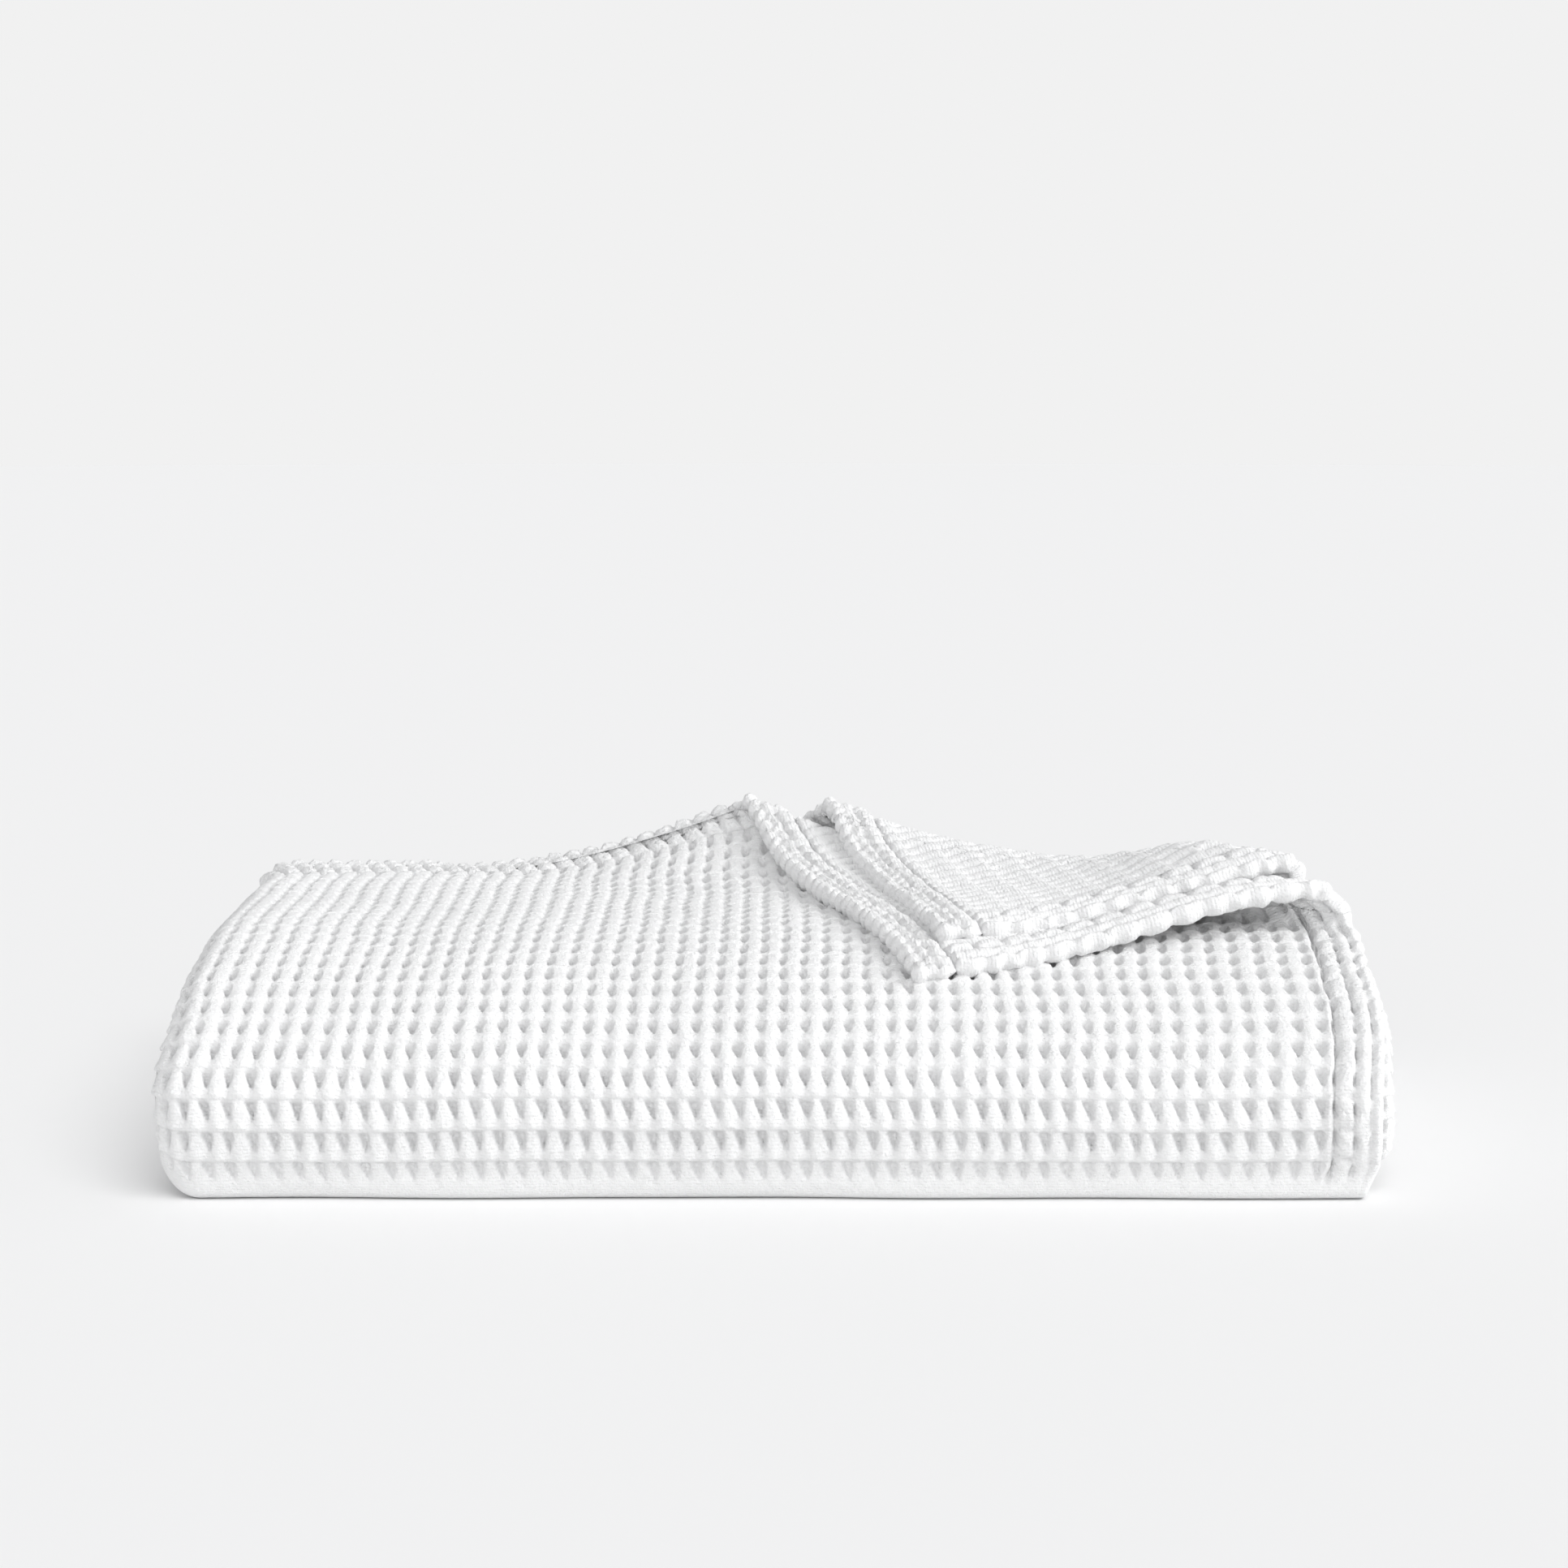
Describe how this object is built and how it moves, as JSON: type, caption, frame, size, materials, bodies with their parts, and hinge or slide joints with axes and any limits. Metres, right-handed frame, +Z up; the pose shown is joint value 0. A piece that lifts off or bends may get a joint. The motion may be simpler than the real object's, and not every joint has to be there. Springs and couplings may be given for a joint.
{
  "type": "folded throw blanket",
  "caption": "White cotton waffle-weave throw folded into a flat stack, hemmed, with the back right corner of its top plies turned over.",
  "frame": {"origin": "under the middle of the stack, on the surface that it rests on", "axes": "+X to the right along the front fold, +Y from the front fold to the back, +Z up"},
  "size_m": [0.43, 0.2585, 0.1136],
  "materials": {
    "waffle_cloth": "soft matte white cotton in a deep waffle weave",
    "hem_cloth": "matte white cotton, turned twice and stitched flat",
    "thread": "matte white cotton sewing thread"
  },
  "bodies": {
    "lower_stack": {"bottom_outer_panel": "waffle_cloth", "bottom_middle_panel": "waffle_cloth", "bottom_inner_panel": "waffle_cloth", "bottom_side_hem": "hem_cloth", "middle_lower_panel": "waffle_cloth", "middle_centre_panel": "waffle_cloth", "middle_upper_panel": "waffle_cloth", "back_fold_outer": "waffle_cloth", "back_fold_middle": "waffle_cloth", "back_fold_inner": "waffle_cloth", "front_fold_outer": "waffle_cloth", "front_fold_middle": "waffle_cloth", "front_fold_inner": "waffle_cloth", "front_side_hem": "hem_cloth", "front_hem_stitching": "thread"},
    "top_fold": {"top_cover_ply": "waffle_cloth", "top_under_ply": "waffle_cloth", "top_middle_panel": "waffle_cloth", "top_inner_panel": "waffle_cloth", "top_side_hem": "hem_cloth", "top_hem_stitching": "thread", "top_cover_end_hem": "hem_cloth", "top_under_end_hem": "hem_cloth", "top_middle_end_hem": "hem_cloth", "top_inner_end_hem": "hem_cloth", "corner_ridge_lower": "waffle_cloth", "corner_ridge_upper": "waffle_cloth"},
    "corner_lower": {"corner_lower_ply": "waffle_cloth", "corner_lower_end_hem": "hem_cloth", "corner_lower_side_hem": "hem_cloth", "corner_lower_stitching": "thread"},
    "corner_upper": {"corner_upper_ply": "waffle_cloth", "corner_upper_end_hem": "hem_cloth", "corner_upper_side_hem": "hem_cloth", "corner_upper_stitching": "thread"}
  },
  "joints": [
    {"name": "open_top_fold", "type": "hinge", "parent": "lower_stack", "child": "top_fold", "pos_m": [0, -0.089, 0.0412], "axis": [1, 0, 0], "range_deg": [0, 75], "deforming": ["front_fold_outer", "front_fold_middle", "front_fold_inner", "front_side_hem", "front_hem_stitching"]},
    {"name": "lift_lower_corner", "type": "hinge", "parent": "top_fold", "child": "corner_lower", "pos_m": [0.209, -0.036, 0.1025], "axis": [-0.8077, 0.5897, 0], "range_deg": [0, 75], "deforming": ["corner_ridge_lower", "corner_ridge_upper"]},
    {"name": "lift_upper_corner", "type": "hinge", "parent": "corner_lower", "child": "corner_upper", "pos_m": [0.209, -0.036, 0.10832], "axis": [-0.8077, 0.5897, 0], "range_deg": [0, 60], "deforming": ["corner_ridge_upper"]}
  ]
}
